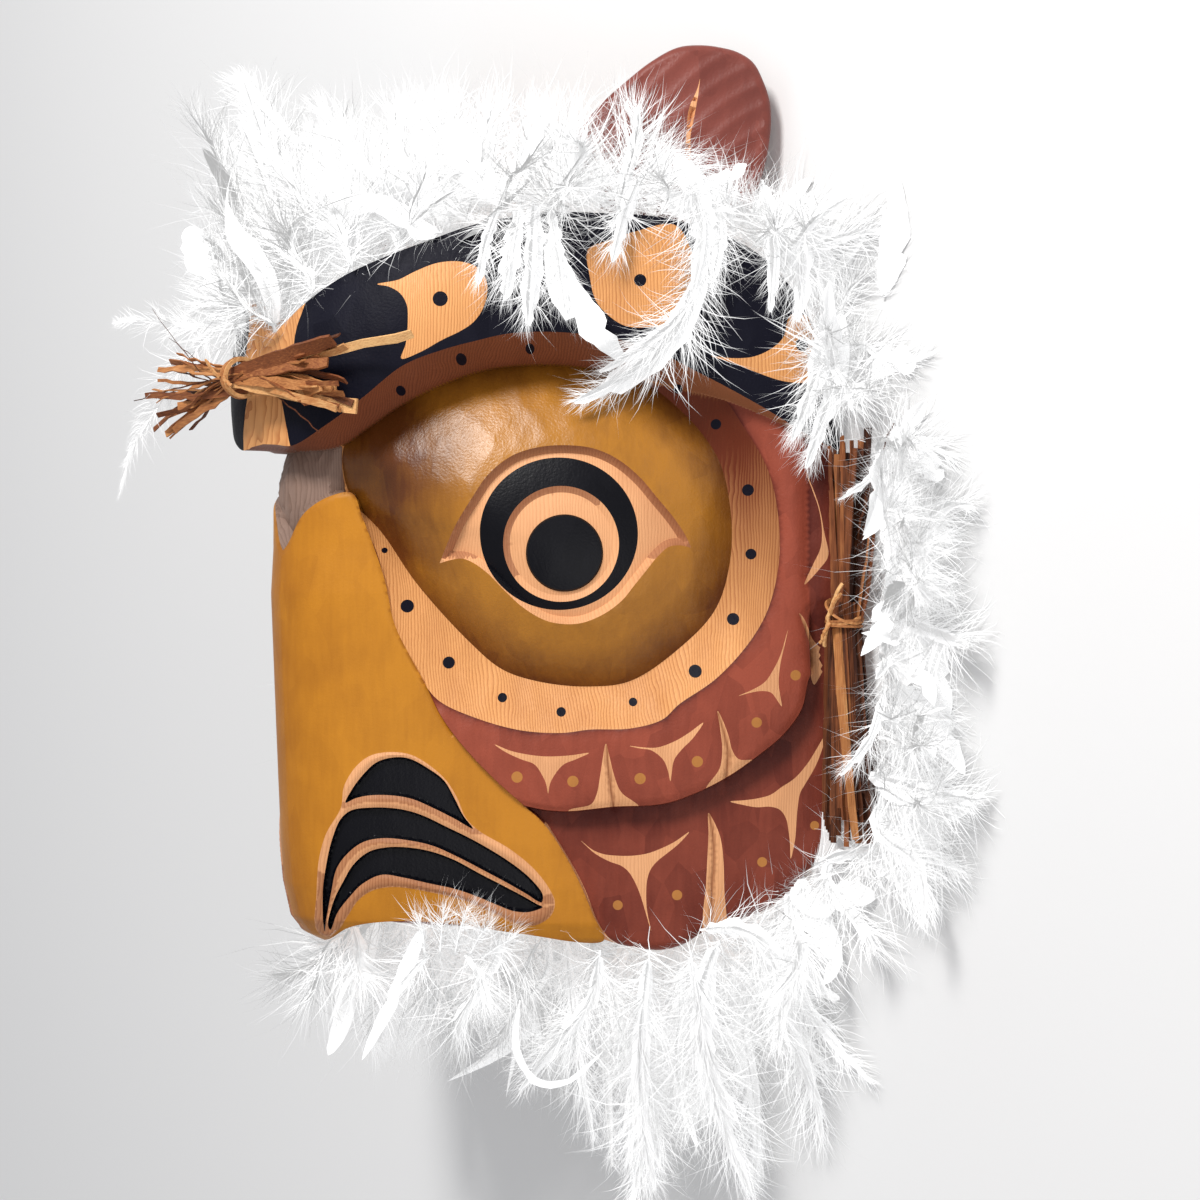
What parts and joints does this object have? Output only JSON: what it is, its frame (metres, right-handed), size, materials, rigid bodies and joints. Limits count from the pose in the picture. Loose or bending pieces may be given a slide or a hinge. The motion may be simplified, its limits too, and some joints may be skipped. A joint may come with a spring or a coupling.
{
  "type": "owl mask",
  "caption": "Carved and painted cedar owl mask with a heavy brow, a round carved eye on each side, a deep beak, bark bundles and a fringe of white feathers.",
  "frame": {"origin": "centre of the bounding box of the whole piece, on the ground under the back rim", "axes": "+Z out of the face, up from the ground the mask lies on; +Y towards the crown; +X towards the mask's side that faces the camera"},
  "size_m": [0.537, 0.524, 0.2157],
  "materials": {
    "painted_cedar": "satin",
    "red_cedar_paint": "satin",
    "cedar_bark": "matt",
    "bark_tie": "matt",
    "white_feather": "matt"
  },
  "bodies": {
    "root": {"bark_bundle_front": "cedar_bark", "bark_bundle_left": "cedar_bark", "bark_bundle_right": "cedar_bark", "bark_tie_front": "bark_tie", "bark_tie_left": "bark_tie", "bark_tie_right": "bark_tie", "ear_left": "red_cedar_paint", "ear_right": "red_cedar_paint", "feather_tuft_brow_end_left": "white_feather", "feather_tuft_brow_end_right": "white_feather", "feather_tuft_chin_left_1": "white_feather", "feather_tuft_chin_left_2": "white_feather", "feather_tuft_chin_left_3": "white_feather", "feather_tuft_chin_left_4": "white_feather", "feather_tuft_chin_right_1": "white_feather", "feather_tuft_chin_right_2": "white_feather", "feather_tuft_chin_right_3": "white_feather", "feather_tuft_chin_right_4": "white_feather", "feather_tuft_crest_centre": "white_feather", "feather_tuft_crest_left_1": "white_feather", "feather_tuft_crest_left_2": "white_feather", "feather_tuft_crest_left_3": "white_feather", "feather_tuft_crest_left_4": "white_feather", "feather_tuft_crest_left_5": "white_feather", "feather_tuft_crest_left_6": "white_feather", "feather_tuft_crest_left_7": "white_feather", "feather_tuft_crest_right_1": "white_feather", "feather_tuft_crest_right_2": "white_feather", "feather_tuft_crest_right_3": "white_feather", "feather_tuft_crest_right_4": "white_feather", "feather_tuft_crest_right_5": "white_feather", "feather_tuft_crest_right_6": "white_feather", "feather_tuft_crest_right_7": "white_feather", "feather_tuft_rim_left_1": "white_feather", "feather_tuft_rim_left_2": "white_feather", "feather_tuft_rim_left_3": "white_feather", "feather_tuft_rim_left_4": "white_feather", "feather_tuft_rim_left_5": "white_feather", "feather_tuft_rim_left_6": "white_feather", "feather_tuft_rim_left_7": "white_feather", "feather_tuft_rim_left_8": "white_feather", "feather_tuft_rim_left_9": "white_feather", "feather_tuft_rim_right_1": "white_feather", "feather_tuft_rim_right_2": "white_feather", "feather_tuft_rim_right_3": "white_feather", "feather_tuft_rim_right_4": "white_feather", "feather_tuft_rim_right_5": "white_feather", "feather_tuft_rim_right_6": "white_feather", "feather_tuft_rim_right_7": "white_feather", "feather_tuft_rim_right_8": "white_feather", "feather_tuft_rim_right_9": "white_feather", "mask_shell": "painted_cedar"}
  },
  "joints": []
}
